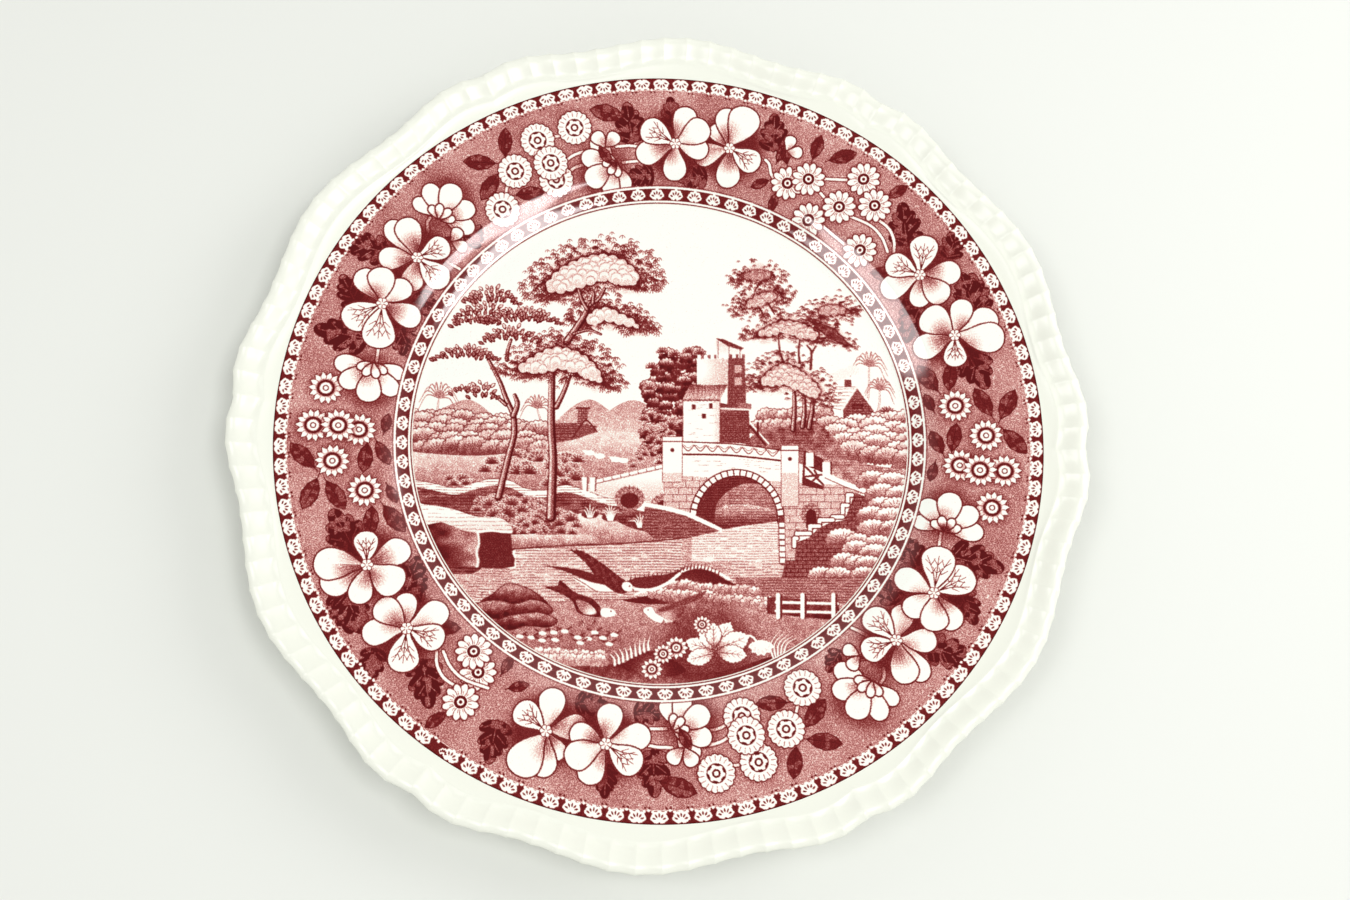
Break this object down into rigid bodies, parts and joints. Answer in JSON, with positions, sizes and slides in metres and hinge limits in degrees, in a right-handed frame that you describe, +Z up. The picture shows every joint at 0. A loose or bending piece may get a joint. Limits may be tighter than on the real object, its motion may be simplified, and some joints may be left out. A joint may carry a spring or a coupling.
{
  "type": "dinner plate",
  "caption": "Round china dinner plate with a fluted, lobed edge, a foot ring, a printed flower border and a printed landscape in the well.",
  "frame": {"origin": "on the table under the plate's centre, in the plane of the foot ring's resting face", "axes": "+Z up through the plate's centre, +Y towards the top of the printed picture, +X to the picture's right"},
  "size_m": [0.2668, 0.2668, 0.0226],
  "materials": {
    "white_glaze": "clear glossy glaze over a cream-white earthenware body, opaque",
    "stippled_print": "crimson underglaze print with white showing between its dots and lines, glossy, opaque",
    "crimson_print": "dark crimson underglaze print with white beads, glossy, opaque"
  },
  "bodies": {
    "root": {"earthenware_body": "white_glaze", "center_picture_transfer": "stippled_print", "inner_bead_transfer": "crimson_print", "flower_border_transfer": "stippled_print", "outer_bead_transfer": "crimson_print"}
  },
  "joints": []
}
